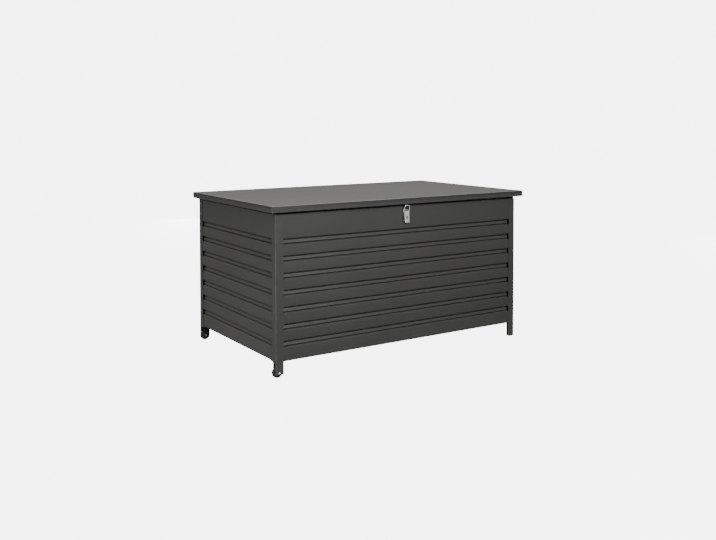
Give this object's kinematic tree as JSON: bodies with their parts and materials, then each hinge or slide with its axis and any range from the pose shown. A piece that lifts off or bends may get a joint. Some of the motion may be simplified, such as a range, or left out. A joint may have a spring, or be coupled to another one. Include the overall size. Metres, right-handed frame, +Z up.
{
  "type": "outdoor storage box",
  "caption": "Steel garden storage box on corner legs: grooved panels, flat hinged lid on gas struts, front toggle latch, end handle and small wheels.",
  "frame": {"origin": "on the ground under the middle of the whole box, lid and hinge included", "axes": "+X along the length towards the end with the handle, +Y from front to rear, +Z up; the latch faces -Y and the wheels are at -X"},
  "size_m": [1.57, 0.9518, 0.818],
  "materials": {
    "painted_steel_body": "satin powder coat, dark grey",
    "painted_steel_floor": "satin powder coat, dark grey",
    "painted_steel_lid": "satin powder coat, dark grey",
    "painted_steel_black": "semi-gloss black paint",
    "black_rubber": "matt",
    "black_plastic": "fine grained",
    "seal_rubber": "matt",
    "zinc_steel": "bright zinc plate",
    "hinge_steel": "satin powder coat, dark grey",
    "latch_steel": "satin stainless",
    "handle_steel": "satin stainless",
    "strut_tube_black": "gloss black paint",
    "strut_rod_chrome": "polished"
  },
  "bodies": {
    "box": {"axle_bolts": "zinc_steel", "axle_nuts": "zinc_steel", "bottom_rail_front": "painted_steel_body", "bottom_rail_left": "painted_steel_body", "bottom_rail_rear": "painted_steel_body", "bottom_rail_right": "painted_steel_body", "corner_post_front_left": "painted_steel_body", "corner_post_front_right": "painted_steel_body", "corner_post_rear_left": "painted_steel_body", "corner_post_rear_right": "painted_steel_body", "floor_bearer_1": "painted_steel_body", "floor_bearer_2": "painted_steel_body", "floor_panel": "painted_steel_floor", "foot_block_front": "black_rubber", "foot_block_rear": "black_rubber", "front_panel": "painted_steel_body", "handle_plate": "handle_steel", "handle_rivets": "zinc_steel", "hinge_leaf_body": "hinge_steel", "hinge_pin": "zinc_steel", "hinge_rivets_body": "zinc_steel", "latch_backing_plate": "painted_steel_body", "latch_base": "painted_steel_black", "latch_pin": "zinc_steel", "latch_rivets": "zinc_steel", "left_panel": "painted_steel_body", "lid_seal": "seal_rubber", "rear_panel": "painted_steel_body", "right_panel": "painted_steel_body", "strut_foot_bracket_left": "painted_steel_body", "strut_foot_bracket_right": "painted_steel_body", "strut_foot_studs": "zinc_steel", "top_rail_front": "painted_steel_body", "top_rail_left": "painted_steel_body", "top_rail_rear": "painted_steel_body", "top_rail_right": "painted_steel_body", "wheel_bracket_front": "painted_steel_black", "wheel_bracket_rear": "painted_steel_black"},
    "lid": {"lid_skin": "painted_steel_lid", "lid_stiffener_1": "painted_steel_lid", "lid_stiffener_2": "painted_steel_lid", "lid_stiffener_3": "painted_steel_lid", "hinge_leaf_lid": "hinge_steel", "hinge_rivets_lid": "zinc_steel", "latch_catch": "painted_steel_lid", "catch_rivets": "zinc_steel", "strut_lid_bracket_left": "painted_steel_lid", "strut_lid_bracket_right": "painted_steel_lid"},
    "wheel_front": {"wheel_front_tyre": "black_rubber", "wheel_front_hub": "black_plastic"},
    "wheel_rear": {"wheel_rear_tyre": "black_rubber", "wheel_rear_hub": "black_plastic"},
    "latch_lever": {"latch_lever": "latch_steel"},
    "latch_bail": {"latch_bail": "latch_steel"},
    "strut_tube_left": {"strut_tube_left": "strut_tube_black"},
    "strut_tube_right": {"strut_tube_right": "strut_tube_black"},
    "strut_rod_left": {"strut_rod_left": "strut_rod_chrome"},
    "strut_rod_right": {"strut_rod_right": "strut_rod_chrome"},
    "handle": {"handle_bail": "handle_steel"}
  },
  "joints": [
    {"name": "lid_hinge", "type": "hinge", "parent": "box", "child": "lid", "pos_m": [0, 0.4696, 0.7805], "axis": [-1, 0, 0], "range_deg": [0, 90]},
    {"name": "strut_tube_left_pivot", "type": "hinge", "parent": "box", "child": "strut_tube_left", "pos_m": [-0.6982, 0.3496, 0.5225], "axis": [-1, 0, 0], "range_deg": [0, 14.4]},
    {"name": "strut_rod_left_slide", "type": "slide", "parent": "strut_tube_left", "child": "strut_rod_left", "axis": [0, 0, 1], "range_m": [0, 0.1565]},
    {"name": "strut_tube_right_pivot", "type": "hinge", "parent": "box", "child": "strut_tube_right", "pos_m": [0.6982, 0.3496, 0.5225], "axis": [-1, 0, 0], "range_deg": [0, 14.4]},
    {"name": "strut_rod_right_slide", "type": "slide", "parent": "strut_tube_right", "child": "strut_rod_right", "axis": [0, 0, 1], "range_m": [0, 0.1565]},
    {"name": "latch_lever_hinge", "type": "hinge", "parent": "box", "child": "latch_lever", "pos_m": [0, -0.4539, 0.757], "axis": [-1, 0, 0], "range_deg": [0, 100]},
    {"name": "latch_bail_hinge", "type": "hinge", "parent": "latch_lever", "child": "latch_bail", "pos_m": [0, -0.4489, 0.745], "axis": [1, 0, 0], "range_deg": [0, 130]},
    {"name": "wheel_front_axle", "type": "hinge", "parent": "box", "child": "wheel_front", "pos_m": [-0.733, -0.4194, 0.025], "axis": [0, 1, 0], "continuous": true},
    {"name": "wheel_rear_axle", "type": "hinge", "parent": "box", "child": "wheel_rear", "pos_m": [-0.733, 0.4336, 0.025], "axis": [0, 1, 0], "continuous": true},
    {"name": "handle_hinge", "type": "hinge", "parent": "box", "child": "handle", "pos_m": [0.76, 0.0071, 0.725], "axis": [0, -1, 0], "range_deg": [0, 90]}
  ],
  "couplings": [
    {"joint": "strut_tube_left_pivot", "follows": "lid_hinge", "ratio": 0.15833},
    {"joint": "strut_rod_left_slide", "follows": "lid_hinge", "m_per_rad": 0.099313},
    {"joint": "strut_tube_right_pivot", "follows": "lid_hinge", "ratio": 0.15833},
    {"joint": "strut_rod_right_slide", "follows": "lid_hinge", "m_per_rad": 0.099313},
    {"joint": "latch_bail_hinge", "follows": "latch_lever_hinge", "ratio": 1.3}
  ]
}
